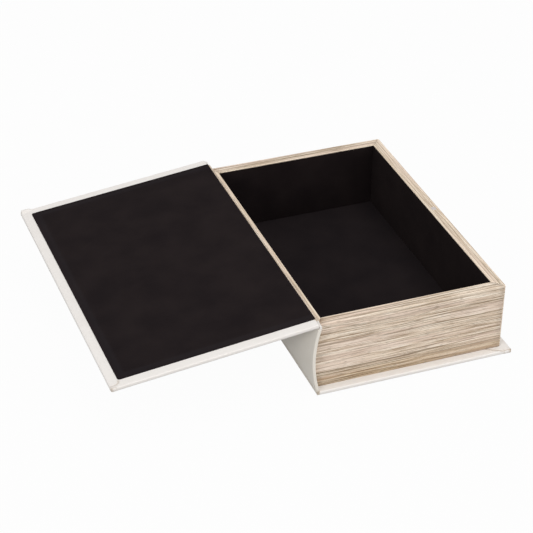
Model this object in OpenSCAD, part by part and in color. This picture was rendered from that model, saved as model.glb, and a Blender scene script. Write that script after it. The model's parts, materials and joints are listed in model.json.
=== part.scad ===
// Book-shaped keepsake box, shown open: a cased tray with a hinged front cover.
// X runs from the spine to the fore edge, Y from tail to head, Z up.
// The origin is the centre of the back cover's underside.

/* [Tray] */
// Clear width between the linings, spine to fore edge
inner_w = 146.4; // [100:0.2:220]
// Clear depth between the linings, tail to head
inner_d = 232; // [150:1:340]
// Height of the rim above the back cover
tray_h = 59.1; // [35:0.1:95]
// Thickness of the tail, head and fore-edge walls
wall_t = 8.3; // [6.5:0.1:12]
// Thickness of the spine wall at half its height
spine_wall_t = 9.3; // [8:0.1:14]
// Radius of the tray's two upright corners at the fore edge
corner_r = 1.2; // [0.8:0.1:4]

/* [Paper and lining] */
// Thickness of the wood-pattern paper
paper_t = 0.3; // [0.2:0.05:0.6]
// Width of the fore-edge paper's return on the tail and head faces
paper_return = 3; // [2:0.5:12]
// Thickness of the flocked lining
lining_t = 0.4; // [0.3:0.1:1]
// Thickness of the flocked card on the tray floor
floor_t = 0.6; // [0.5:0.1:1.5]

/* [Covers] */
// Thickness of the cover boards
board_t = 2.6; // [1.8:0.1:4]
// Thickness of the covering sheet
skin_t = 0.4; // [0.2:0.1:0.6]
// Width of the sheet's turned-in border
turn_in = 15; // [11:0.5:25]
// Overhang of the covers past the tray
square_w = 7.15; // [3:0.05:10]
// Radius of the covers' corners at the fore edge
cover_corner_r = 2; // [1:0.1:4]
// White border left round the front cover's lining
lining_border = 8; // [4:0.5:10.5]
// Radius of that lining's corners at the fore edge
lining_corner_r = 1.8; // [1:0.1:4]

/* [Spine] */
// Bulge of the rounded spine over the height of the shut box
spine_bulge = 5.2; // [2:0.1:6]
// Thickness of the spine board
spine_board_t = 2; // [1.2:0.1:3]

/* [Hinge] */
// Angle of the open front cover below level
open_drop = 6.43; // [0:0.01:12]
// Gap between the rim and the lining of the shut cover
closed_gap = 0.25; // [0.15:0.05:0.6]
// Gap between the shut cover's hinge edge and the top of the spine
edge_gap = 0.3; // [0.25:0.05:0.8]
// Depth of the fold line under the shut cover's outer face
fold_depth = 0.9; // [0.6:0.05:1.2]
// Height of the fold line above the top of the spine
fold_rise = 2.2; // [2:0.1:3]
// Radius of the fold's rounded ridge
fold_r = 0.9; // [0.6:0.05:1.1]
// Thickness of the doubled sheet between ridge and spine
fold_web_t = 0.6; // [0.4:0.1:0.8]
// Distance that the doubled sheet stands out from the fold line, towards the spine's back
fold_web_set = 0.2; // [0:0.05:0.3]
// Clearance between the ridge and the front cover
fold_gap = 0.4; // [0.35:0.05:0.8]

/* [Closure] */
// Diameter of the magnet in the rim
magnet_d = 5; // [3:0.5:6]
// Length of the magnet
magnet_h = 3; // [2:0.5:6]
// Diameter of the steel disc under the cover lining
plate_d = 12; // [8:0.5:16]
// Thickness of the steel disc
plate_t = 0.8; // [0.4:0.1:1.2]
// Clearance round the magnet and the disc in their pockets
pocket_gap = 0.1; // [0.05:0.05:0.3]

/* [Hidden] */

white = "#ece8e4";
paper_colour = "#d0ba9c";
board_colour = "#b39b78";
lining_colour = "#252022";
steel_colour = "#c9cbce";

fine = 128; // segments drawn on a full circle
over = 1; // how far a cut runs past the face that it opens

// Heights
cover_t = skin_t + board_t + skin_t;
rim_z = cover_t + tray_h;
wall_top = rim_z - paper_t;
closed_h = rim_z + closed_gap + lining_t + cover_t;
axis_z = closed_h - fold_depth;
spine_top = axis_z - fold_rise;
mid_z = closed_h / 2;

// Spine: one arc through the foot, the middle and the top of the shut box
spine_r = closed_h * closed_h / (8 * spine_bulge) + spine_bulge / 2;
board_r = spine_r - skin_t;
seat_r = board_r - spine_board_t;
turn_r = seat_r - skin_t;

// Widths, first from the inner face of the spine lining, then moved so that the back cover is centred
apex = -lining_t - spine_wall_t - spine_board_t - skin_t;
foot = apex + spine_r - sqrt(spine_r * spine_r - mid_z * mid_z);
fore_out = inner_w + lining_t + wall_t + paper_t;
shift = -(foot + fore_out + square_w) / 2;
in_x0 = shift;
in_x1 = shift + inner_w;
tray_x1 = shift + fore_out;
cover_x1 = tray_x1 + square_w;
spine_cx = shift + apex + spine_r;
function arc_x(r, z) = spine_cx - sqrt(r * r - (z - mid_z) * (z - mid_z));
spine_face_x0 = arc_x(spine_r, mid_z);

// Depths, all the same both ways from the middle
in_y = inner_d / 2;
wall_in_y = in_y + lining_t;
wall_out_y = wall_in_y + wall_t;
tray_y = wall_out_y + paper_t;
cover_y = tray_y + square_w;

// The boards' corners lie inside the sheet's
board_corner_r = cover_corner_r - skin_t;

// Fold line and the front cover, which is drawn shut with the fold line at its origin
edge_p = fold_r + fold_gap;
axis_x = arc_x(turn_r, spine_top) + edge_gap - edge_p;
fore_p = cover_x1 - axis_x;
out_q = fold_depth;
board_top_q = out_q - skin_t;
board_low_q = board_top_q - board_t;
in_q = out_q - cover_t;
lining_q = in_q - lining_t;
lining_hinge_p = edge_p + skin_t / 2;
lining_fore_p = fore_p - lining_border;
lining_y = cover_y - lining_border;
window_hinge_p = edge_p + skin_t;
window_fore_p = fore_p - turn_in;
window_y = cover_y - turn_in;

// Magnet, in the middle of the fore-edge wall's rim
magnet_x = tray_x1 - (paper_t + wall_t + lining_t) / 2;
magnet_p = magnet_x - axis_x;

// A box from one corner to the other
module block(low, high) {
    translate(low)
        cube(high - low);
}

// A box that is the same both ways from the middle of the depth
module span(x0, x1, y, z0, z1) {
    block([x0, -y, z0], [x1, y, z1]);
}

// Everything inside a cylinder that runs along the spine
module inside_arc(r) {
    translate([spine_cx, 0, mid_z])
        rotate([90, 0, 0])
            cylinder(r = r, h = 2 * cover_y + 2 * over, center = true, $fn = fine);
}

// A rectangle in plan, the same both ways from the middle, with its two fore-edge corners rounded
module fore_rounded(x0, x1, y, r) {
    translate([x0, -y])
        square([x1 - r - x0, 2 * y]);
    translate([x1 - r - over, -y + r])
        square([r + over, 2 * (y - r)]);
    for (side = [-1, 1])
        translate([x1 - r, side * (y - r)])
            circle(r = r, $fn = fine / 4);
}

// A plate of that outline
module plate(x0, x1, y, z0, z1, r) {
    translate([0, 0, z0])
        linear_extrude(z1 - z0)
            fore_rounded(x0, x1, y, r);
}

// Outline of the tray seen from above, a distance in from its faces
module tray_outline(inset) {
    fore_rounded(spine_face_x0, tray_x1 - inset, tray_y - inset, corner_r - inset);
}

// Wedge of the plan that belongs to the tail side, bounded by the mitres at both ends
module tail_sector() {
    rim_x0 = arc_x(seat_r, rim_z);
    slope = (in_x0 - rim_x0) / (tray_y - in_y);
    reach = 2 * over;
    polygon([[rim_x0 - reach * slope, -tray_y - reach],
             [tray_x1 + reach, -tray_y - reach],
             [in_x1, -in_y],
             [in_x1 - reach, -in_y + reach],
             [in_x0 + reach * slope, -in_y + reach],
             [in_x0, -in_y]]);
}

// Wedge of the plan that belongs to the fore-edge side
module fore_sector() {
    reach = 2 * over;
    polygon([[in_x1 - reach, -in_y + reach],
             [in_x1, -in_y],
             [tray_x1 + reach, -tray_y - reach],
             [tray_x1 + reach, tray_y + reach],
             [in_x1, in_y],
             [in_x1 - reach, in_y - reach]]);
}

// The tray's inner space in plan, a distance out from the linings
module inner_outline(out) {
    translate([in_x0 - out, -in_y - out])
        square([inner_w + 2 * out, inner_d + 2 * out]);
}

// The back board before its spine side is cut to the arc
module back_plate(x0) {
    plate(x0, cover_x1 - skin_t, cover_y - skin_t, skin_t, skin_t + board_t, board_corner_r);
}

module back_board() color(board_colour) {
    intersection() {
        back_plate(spine_face_x0);
        inside_arc(seat_r);
    }
}

module back_skin() color(white) {
    difference() {
        intersection() {
            plate(spine_face_x0, cover_x1, cover_y, 0, cover_t, cover_corner_r);
            union() {
                inside_arc(seat_r);
                span(arc_x(spine_r, skin_t), cover_x1, cover_y, 0, skin_t);
            }
        }
        back_plate(spine_face_x0 - over);
        span(spine_face_x0 - over, cover_x1 - turn_in, cover_y - turn_in, skin_t, cover_t + over);
    }
}

module spine_board() color(board_colour) {
    difference() {
        intersection() {
            span(spine_face_x0, spine_cx, cover_y - skin_t, skin_t, spine_top - skin_t);
            inside_arc(board_r);
        }
        inside_arc(seat_r);
    }
}

module spine_skin() color(white) {
    difference() {
        intersection() {
            span(spine_face_x0, spine_cx, cover_y, skin_t, spine_top);
            inside_arc(spine_r);
        }
        inside_arc(turn_r);
        // Room for the board
        intersection() {
            span(spine_face_x0, spine_cx, cover_y - skin_t, skin_t - over, spine_top - skin_t);
            inside_arc(board_r);
        }
        // Room for the tray, and for the back cover's turned-in borders
        intersection() {
            union() {
                span(spine_face_x0, spine_cx, tray_y, skin_t - over, spine_top - skin_t);
                span(spine_face_x0, spine_cx, cover_y + over, skin_t - over, cover_t);
            }
            inside_arc(seat_r);
        }
    }
}

module spine_wall() color(board_colour) {
    intersection() {
        span(spine_face_x0, in_x0 - lining_t, wall_out_y, cover_t, wall_top);
        inside_arc(seat_r);
    }
}

// Tail wall; the head wall is its mirror image
module end_wall() {
    translate([0, 0, cover_t])
        linear_extrude(wall_top - cover_t)
            intersection() {
                difference() {
                    tray_outline(paper_t);
                    inner_outline(lining_t);
                    translate([spine_face_x0 - over, -tray_y])
                        square([in_x0 - lining_t - spine_face_x0 + over, 2 * tray_y]);
                }
                tail_sector();
            }
}

module tail_wall() color(board_colour) end_wall();

module head_wall() color(board_colour) mirror([0, 1, 0]) end_wall();

module fore_edge_wall() color(board_colour) {
    difference() {
        translate([0, 0, cover_t])
            linear_extrude(wall_top - cover_t)
                intersection() {
                    difference() {
                        tray_outline(paper_t);
                        inner_outline(lining_t);
                    }
                    fore_sector();
                }
        magnet_pocket();
    }
}

module magnet_pocket() {
    translate([magnet_x, 0, rim_z - magnet_h])
        cylinder(d = magnet_d + 2 * pocket_gap, h = magnet_h + over, $fn = fine / 2);
}

// Paper on the tail face and its rim; the head paper is its mirror image
module end_paper() {
    intersection() {
        union() {
            translate([0, 0, cover_t])
                linear_extrude(rim_z - cover_t)
                    difference() {
                        tray_outline(0);
                        tray_outline(paper_t);
                        translate([tray_x1 - paper_return, -tray_y - over])
                            square([paper_return + over, 2 * (tray_y + over)]);
                        translate([spine_face_x0 - over, -in_y])
                            square([tray_x1 - spine_face_x0, tray_y + 2 * in_y]);
                    }
            translate([0, 0, wall_top])
                linear_extrude(paper_t)
                    intersection() {
                        difference() {
                            tray_outline(paper_t);
                            inner_outline(0);
                        }
                        tail_sector();
                    }
        }
        inside_arc(seat_r);
    }
}

module tail_paper() color(paper_colour) end_paper();

module head_paper() color(paper_colour) mirror([0, 1, 0]) end_paper();

module fore_edge_paper() color(paper_colour) {
    difference() {
        union() {
            translate([0, 0, cover_t])
                linear_extrude(rim_z - cover_t)
                    intersection() {
                        difference() {
                            tray_outline(0);
                            tray_outline(paper_t);
                        }
                        translate([tray_x1 - paper_return, -tray_y - over])
                            square([paper_return + over, 2 * (tray_y + over)]);
                    }
            translate([0, 0, wall_top])
                linear_extrude(paper_t)
                    intersection() {
                        difference() {
                            tray_outline(paper_t);
                            inner_outline(0);
                        }
                        fore_sector();
                    }
        }
        magnet_pocket();
    }
}

module spine_rim_paper() color(paper_colour) {
    intersection() {
        translate([0, 0, wall_top])
            linear_extrude(paper_t)
                difference() {
                    translate([spine_face_x0, -tray_y + paper_t])
                        square([in_x0 - spine_face_x0, 2 * (tray_y - paper_t)]);
                    tail_sector();
                    mirror([0, 1])
                        tail_sector();
                }
        inside_arc(seat_r);
    }
}

// The linings stand on the floor card and end under the rim's paper
lining_z0 = skin_t + board_t + floor_t;

// Lining of the tail wall; the head lining is its mirror image
module end_lining() {
    block([in_x0 - lining_t, -wall_in_y, lining_z0], [in_x1 + lining_t, -in_y, wall_top]);
}

module tail_lining() color(lining_colour) end_lining();

module head_lining() color(lining_colour) mirror([0, 1, 0]) end_lining();

module fore_edge_lining() color(lining_colour) {
    span(in_x1, in_x1 + lining_t, in_y, lining_z0, wall_top);
}

module spine_lining() color(lining_colour) {
    span(in_x0 - lining_t, in_x0, in_y, lining_z0, wall_top);
}

module floor_lining() color(lining_colour) {
    span(in_x0 - lining_t, in_x1 + lining_t, wall_in_y, skin_t + board_t, lining_z0);
}

module closure_magnet() color(steel_colour) {
    translate([magnet_x, 0, rim_z - magnet_h])
        cylinder(d = magnet_d, h = magnet_h, $fn = fine / 2);
}

// The fold that the front cover turns on: a rounded ridge on a doubled sheet above the spine
module hinge_strip() color(white) {
    web_x0 = axis_x - fold_web_t / 2 - fold_web_set;
    translate([axis_x, 0, axis_z])
        rotate([90, 0, 0])
            cylinder(r = fold_r, h = 2 * cover_y, center = true, $fn = fine / 2);
    span(web_x0, web_x0 + fold_web_t, cover_y, spine_top, axis_z);
}

// Puts the shut front cover at the fold line and opens it
module opened() {
    translate([axis_x, 0, axis_z])
        rotate([0, -(180 + open_drop), 0])
            children();
}

// The front board before its pocket is cut
module front_plate() {
    plate(edge_p + skin_t, fore_p - skin_t, cover_y - skin_t, board_low_q, board_top_q, board_corner_r);
}

module front_board() color(board_colour) opened() {
    difference() {
        front_plate();
        translate([magnet_p, 0, board_low_q - over])
            cylinder(d = plate_d + 2 * pocket_gap, h = plate_t + over, $fn = fine / 2);
    }
}

module front_skin() color(white) opened() {
    difference() {
        plate(edge_p, fore_p, cover_y, in_q, out_q, cover_corner_r);
        front_plate();
        span(window_hinge_p, window_fore_p, window_y, in_q - over, board_top_q);
    }
}

// The lining dips where the turned-in borders under it end
module cover_lining() color(lining_colour) opened() {
    difference() {
        union() {
            plate(lining_hinge_p, lining_fore_p, lining_y, lining_q, in_q, lining_corner_r);
            span(window_hinge_p, window_fore_p, window_y, in_q, board_low_q);
        }
        span(window_hinge_p + lining_t, window_fore_p - lining_t, window_y - lining_t,
             lining_q - over, board_low_q - lining_t);
    }
}

module catch_plate() color(steel_colour) opened() {
    translate([magnet_p, 0, board_low_q])
        cylinder(d = plate_d, h = plate_t, $fn = fine / 2);
}

back_board();
back_skin();
spine_board();
spine_skin();
spine_wall();
tail_wall();
head_wall();
fore_edge_wall();
tail_paper();
head_paper();
fore_edge_paper();
spine_rim_paper();
tail_lining();
head_lining();
fore_edge_lining();
spine_lining();
floor_lining();
closure_magnet();
hinge_strip();
front_board();
front_skin();
cover_lining();
catch_plate();
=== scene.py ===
import json
import math

import bmesh
import bpy
import numpy as np
from mathutils import Matrix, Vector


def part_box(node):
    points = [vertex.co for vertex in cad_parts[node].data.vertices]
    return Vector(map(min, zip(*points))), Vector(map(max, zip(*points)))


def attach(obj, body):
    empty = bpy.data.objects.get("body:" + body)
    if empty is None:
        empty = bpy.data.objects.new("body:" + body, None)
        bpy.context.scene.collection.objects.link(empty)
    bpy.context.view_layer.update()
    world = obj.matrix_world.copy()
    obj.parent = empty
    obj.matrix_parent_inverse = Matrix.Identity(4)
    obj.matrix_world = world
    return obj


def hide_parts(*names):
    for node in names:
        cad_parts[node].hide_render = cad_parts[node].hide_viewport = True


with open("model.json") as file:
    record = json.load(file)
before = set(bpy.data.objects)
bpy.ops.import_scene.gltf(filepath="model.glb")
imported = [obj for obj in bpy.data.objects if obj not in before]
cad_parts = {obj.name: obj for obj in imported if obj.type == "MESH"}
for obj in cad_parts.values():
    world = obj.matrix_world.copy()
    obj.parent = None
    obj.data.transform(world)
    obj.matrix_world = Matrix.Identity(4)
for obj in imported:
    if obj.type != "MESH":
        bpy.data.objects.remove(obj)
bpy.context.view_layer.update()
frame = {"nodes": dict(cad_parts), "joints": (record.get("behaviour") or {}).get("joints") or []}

mm = 0.001  # every size below is in millimetres, and turns to metres as it goes into a mesh
scene = bpy.context.scene
print("frame loaded:", len(frame["nodes"]), "nodes")


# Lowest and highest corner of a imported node, in millimetres
def corners(node):
    low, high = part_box(node)
    return np.array(low) / mm, np.array(high) / mm


# The box's own sizes, read from the frame
(innerX1, _, _), (trayX1, trayY, rimZ) = corners("fore_edge_paper")
(spineApexX, _, _), (_, _, spineTopZ) = corners("spine_skin")
coverX1, coverY, coverTop = corners("back_skin")[1]
innerX0 = corners("spine_lining")[1][0]
innerY = corners("head_lining")[0][1]
floorLow, floorHigh = corners("floor_lining")
axisX, axisZ = np.array(frame["joints"][0]["pos_m"])[[0, 2]] / mm

# What these boxes can't say, as in the part's source
case = dict(sheet=0.4, turnIn=15.0, foldDepth=0.9, drop=6.43, bulge=5.2, spineBoard=2.0)
shutZ = axisZ + case["foldDepth"]
midZ = shutZ / 2
spineR = shutZ ** 2 / (8 * case["bulge"]) + case["bulge"] / 2
spineCentreX = spineApexX + spineR
seatR = spineR - case["sheet"] - case["spineBoard"]
land = 0.3  # flat kept beside each rounding, so that the shading stays even
hair = 0.01  # kept between two rows of points that aren't to merge


# X of the spine's arc of that radius at a height
def arcX(radius, z):
    return spineCentreX - np.sqrt(radius ** 2 - (np.asarray(z) - midZ) ** 2)


# Coordinates spread over one grid and stacked as points
def gridOf(*coordinates):
    return np.stack(np.broadcast_arrays(*coordinates), -1)


# Shut-cover places (p from the fold line towards the fore edge, y, q outwards) put where the open cover lies:
# a turn of 180 degrees and the drop about the fold line
def openCover(grid):
    turn = math.radians(180 + case["drop"])
    p, y, q = np.moveaxis(grid, -1, 0)
    x = axisX + p * math.cos(turn) - q * math.sin(turn)
    z = axisZ + p * math.sin(turn) + q * math.cos(turn)
    return gridOf(x, y, z)


# Mesh making
meshLook = dict(merge=0.002, sliver=0.001, sharp=35.0)


# A grid of points as a mesh of quads, with doubles at seams and poles merged. closed joins the last column
# to the first and turns all faces outwards. tone is one value, one a row or one a point
def meshFromGrid(name, grid, closed=True, uv=None, tone=0.0):
    rows, columns = grid.shape[:2]
    index = np.arange(rows * columns).reshape(rows, columns)
    here = index if closed else index[:, :-1]
    beside = np.roll(index, -1, axis=1) if closed else index[:, 1:]
    quads = np.stack([here[:-1], beside[:-1], beside[1:], here[1:]], -1).reshape(-1, 4)
    mesh = bpy.data.meshes.new(name)
    mesh.vertices.add(rows * columns)
    mesh.vertices.foreach_set("co", (grid * mm).astype(np.float32).ravel())
    mesh.loops.add(quads.size)
    mesh.loops.foreach_set("vertex_index", quads.astype(np.int32).ravel())
    mesh.polygons.add(len(quads))
    mesh.polygons.foreach_set("loop_start", np.arange(0, quads.size, 4, dtype=np.int32))
    mesh.update(calc_edges=True)
    if uv is not None:
        layer = mesh.uv_layers.new(name="grain")
        layer.data.foreach_set("uv", (uv * mm).reshape(-1, 2)[quads.ravel()].astype(np.float32).ravel())
    values = np.broadcast_to(tone, (rows, columns)).astype(np.float32)
    mesh.attributes.new("tone", "FLOAT", "POINT").data.foreach_set("value", values.ravel())
    work = bmesh.new()
    work.from_mesh(mesh)
    bmesh.ops.remove_doubles(work, verts=work.verts, dist=meshLook["merge"] * mm)
    bmesh.ops.dissolve_degenerate(work, edges=work.edges, dist=meshLook["sliver"] * mm)
    if closed:
        bmesh.ops.recalc_face_normals(work, faces=work.faces)
    for face in work.faces:
        face.smooth = True
    work.to_mesh(mesh)
    work.free()
    mesh.set_sharp_from_angle(angle=math.radians(meshLook["sharp"]))
    piece = bpy.data.objects.new(name, mesh)
    scene.collection.objects.link(piece)
    return piece


# Puts a piece on its body, in place of its node, with its material
def place(piece, body, node, material):
    piece.data.materials.append(material)
    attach(piece, body)
    if node:
        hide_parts(node)


# Steps that grow by a fixed ratio away from both ends of a side, up to a longest step, as shares of its length
def sideShares(length, first=0.4, growth=1.4, most=60.0):
    reach = np.cumsum(np.minimum(first * growth ** np.arange(150), most)) / length
    clear = 0.3 * min(most / length, 0.15)  # kept between the last step and the middle
    reach = reach[reach < 0.5 - clear]
    return np.r_[reach, 0.5, 1 - reach[::-1]]


# That many angles through a quarter turn
def quarter(count):
    return np.radians(np.linspace(0, 90, count))


# 0 below low, 1 above high, and a smooth S between: 3t^2 - 2t^3
def smooth(value, low, high):
    t = np.clip((value - low) / (high - low), 0, 1)
    return t * t * (3 - 2 * t)


# Rings round a rectangle (x0, x1, y0, y1), each at its own height and drawn in by its own four insets. A point
# on a straight side keeps its share of the way between two corners. A corner's arc shrinks about its centre,
# and past its radius it slides inwards along the mitre
def ringGrid(plan, radii, insets, heights, arcSteps=6, **steps):
    ends = []
    for turn, (xEnd, yEnd) in enumerate(((1, 0), (1, 1), (0, 1), (0, 0))):
        angle = np.radians(90 * turn - 90 + np.linspace(0, 90, arcSteps + 1))
        signX, signY, radius = 2 * xEnd - 1, 2 * yEnd - 1, radii[turn]
        leftX = radius - insets[:, xEnd, None]
        leftY = radius - insets[:, 2 + yEnd, None]
        x = np.maximum(leftX, 0) * np.cos(angle) + np.minimum(leftX, 0) * signX
        y = np.maximum(leftY, 0) * np.sin(angle) + np.minimum(leftY, 0) * signY
        ends.append(gridOf(plan[xEnd] - signX * radius + x, plan[2 + yEnd] - signY * radius + y))
    parts = []
    for turn, length in enumerate((plan[3] - plan[2], plan[1] - plan[0]) * 2):
        start, stop = ends[turn][:, -1:], ends[(turn + 1) % 4][:, :1]
        parts += [ends[turn], start + sideShares(length, **steps)[None, :, None] * (stop - start)]
    x, y = np.moveaxis(np.hstack(parts), -1, 0)
    return gridOf(x, y, np.asarray(heights, float)[:, None])


# Section of the case's sheet wrapped round a board's edge, as inset and height: from the middle of the outer
# face, round the edge, in over the other face to the cut edge of the turn-in, and back against the board.
# Its corners are quarter circles. rings is how many points lie between the middle and the edge, steps how many
# on the turned-in face. With it comes which points lie on the outside of the turn-in
cutEdge = dict(land=0.4, back=0.1, ease=0.03, down=0.15)


def wrapSection(thickness, edgeR, middle, rings=0, steps=8):
    sheet, turnIn, flatFrom = case["sheet"], case["turnIn"], edgeR + land
    t = quarter(7)
    between = np.linspace(middle, flatFrom, rings + 2)
    outside = [[d, 0] for d in between]
    outside += list(zip(edgeR - edgeR * np.sin(t), edgeR - edgeR * np.cos(t)))
    outside += list(zip(edgeR - edgeR * np.cos(t), thickness - edgeR + edgeR * np.sin(t)))
    turned = len(outside)
    outside += [[d, thickness] for d in np.linspace(flatFrom, turnIn - cutEdge["land"], steps)]
    outside += [[turnIn - cutEdge["back"], thickness - cutEdge["ease"]],
                [turnIn, thickness - cutEdge["down"]], [turnIn, thickness - sheet]]
    insideR = edgeR - sheet
    inside = [[flatFrom, thickness - sheet]]
    inside += list(zip(edgeR - insideR * np.sin(t), thickness - edgeR + insideR * np.cos(t)))
    inside += list(zip(edgeR - insideR * np.cos(t), edgeR - insideR * np.sin(t)))
    inside += [[d, sheet] for d in between[::-1]]
    section = np.array(outside + inside, float)
    order = np.arange(len(section))
    return section, (order >= turned) & (order < len(outside))


# Insets on a side whose turn-in is narrower: from start to stop they are squeezed to a width in one proportion
def squeeze(inset, start, stop, width):
    return np.where(inset <= start, inset, start + (inset - start) * (width - start) / (stop - start))


# Materials

# A hex colour as typed, turned from sRGB to linear by the standard's own curve
def linear(hexText):
    value = np.array([int(hexText[i:i + 2], 16) for i in (1, 3, 5)]) / 255
    value = np.where(value <= 0.04045, value / 12.92, ((value + 0.055) / 1.055) ** 2.4)
    return (*value, 1.0)


# Adds a node with its settings, its values and its links. A node given as a value stands for its first output
def add(tree, kind, inputs=(), **settings):
    node = tree.nodes.new("ShaderNode" + kind)
    for name, value in settings.items():
        setattr(node, name, value)
    for key, value in dict(inputs).items():
        value = value.outputs[0] if isinstance(value, bpy.types.Node) else value
        if isinstance(value, bpy.types.NodeSocket):
            tree.links.new(value, node.inputs[key])
        else:
            node.inputs[key].default_value = value
    return node


# A node material with a Principled shader, its values given by their socket names, and its output
def newMaterial(name, **values):
    material = bpy.data.materials.new(name)
    material.use_nodes = True
    tree = material.node_tree
    tree.nodes.clear()
    shader = add(tree, "BsdfPrincipled", {key.replace("_", " "): value for key, value in values.items()})
    add(tree, "OutputMaterial", {"Surface": shader})
    return material, tree, shader


# Links a surface's colour, and a bump from a height, as strong and as deep in mm as its look says
def dress(tree, shader, look, colour, height):
    bump = add(tree, "Bump", {"Height": height, "Strength": look["strength"], "Distance": look["depth"] * mm})
    tree.links.new(colour, shader.inputs["Base Color"])
    tree.links.new(bump.outputs[0], shader.inputs["Normal"])


# Paper coated with white polyurethane and embossed by a roller with a fine pebble grain. The eye gets a
# soft, slightly uneven sheen. Its warmer, duller fold colour, laid on by the tone attribute, is painted shade
# in the corners' creases, round their nubs and along their lower edges, a painted shadow along the spine's
# foot, and a browner spot where the spine turns in at its foot. The spine's sheet is a little creamier than the
# covers'
sheetLook = dict(covers=("#ece8e4", "#e5e0db"), spine=("#ebe6dd", "#e5dfd4"), fold="#a0896d",
                 roughness=0.56, specular=0.32, mottle=14.0, pebble=0.7, softness=0.6, waves=1.6,
                 strength=0.35, depth=0.08)


def makeCoatedSheet(name, part):
    look = sheetLook
    lighter, darker = (linear(colour) for colour in look[part])
    material, tree, shader = newMaterial(name, Roughness=look["roughness"], Specular_IOR_Level=look["specular"])
    spot = add(tree, "TexCoord").outputs["Object"]
    mottle = add(tree, "TexNoise", {"Vector": spot, "Scale": 1 / (look["mottle"] * mm), "Detail": 3.0})
    soft = add(tree, "Mix", {0: mottle, 6: lighter, 7: darker}, data_type="RGBA").outputs[2]
    tone = add(tree, "Attribute", attribute_name="tone").outputs["Fac"]
    colour = add(tree, "Mix", {0: tone, 6: soft, 7: linear(look["fold"])}, data_type="RGBA").outputs[2]
    pebble = add(tree, "TexVoronoi",
                 {"Vector": spot, "Scale": 1 / (look["pebble"] * mm), "Smoothness": look["softness"]},
                 feature="SMOOTH_F1")
    height = add(tree, "Math", {0: mottle, 1: look["waves"], 2: pebble}, operation="MULTIPLY_ADD")
    dress(tree, shader, look, colour, height)
    return material


# Matt paper printed with a washed, brushed oak plank. The eye gets long, nearly straight streaks in bands of
# cream, sand and grey-pink, thin dark growth lines that come and go, short pores and cream flecks, a browner
# foot, partly print and partly painted shade where the walls meet the cover, and paler bare paper along the
# folds, on the rim's inner edge partly a painted highlight. The real fibres, about 0.2 mm, are finer than a
# pixel of the photograph, so the thinnest layer is drawn coarser, at 0.45 mm, to keep its contrast.
# Inner pairs are the length and height of a noise's waves in mm. After them wander and streaks have their
# swing, rings how many contours there are, and the others the noise values that they start and finish at, with
# their least or greatest strength. stops are places on the ramp, footFade the heights that the foot fades
# between, ringEdge and lineCore how soft growth lines and long lines are, and lineEnd is half the length over
# which a long line fades in or out
oakPaperLook = dict(dark="#98816a", sand="#cab49c", base="#e4cfb9", cream="#faefdf", blush="#e5cdbf",
                    pore="#7a684f", foot="#dfd6c6", fleck="#f9efdf", core="#f4e3cb", roughness=0.74,
                    specular=0.3, stops=[(0.33, "sand"), (0.58, "base")], creamStop=0.95, wearAndHighlight=0.6,
                    strength=0.3, depth=0.05, wander=((90, 40), 1.6), footFade=(6.0, 13.5),
                    streaks=[((240, 7.0), 0.3), ((200, 1.8), 0.4), ((150, 0.6), 2.6), ((34, 0.45), 2.9)],
                    spots=[((110, 7.0), 0.48, 0.66, 0.4, "blush"), ((7, 0.55), 0.66, 0.76, 0.6, "pore"),
                           ((16, 0.6), 0.66, 0.78, 0.5, "fleck")],
                    footBreaks=((60, 1.6), 0.3, 0.6, 0.35), rings=((230, 13), 7.0), ringEdge=0.06,
                    ringTone=0.55, ringBreaks=((80, 3), 0.4, 0.62), lineEnd=9, lineCore=0.25)


# Noise drawn out along the grain, with waves of that length and height, from its own part of the noise
def drawnOut(tree, spot, waves, part, detail=1.0):
    longWay, across = waves
    stretched = add(tree, "VectorMath", {0: spot, 1: (1 / longWay, 1 / across, 1), 2: (part, part, 0)},
                    operation="MULTIPLY_ADD")
    return add(tree, "TexNoise", {"Vector": stretched, "Scale": 1.0, "Detail": detail}, noise_dimensions="2D")


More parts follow.
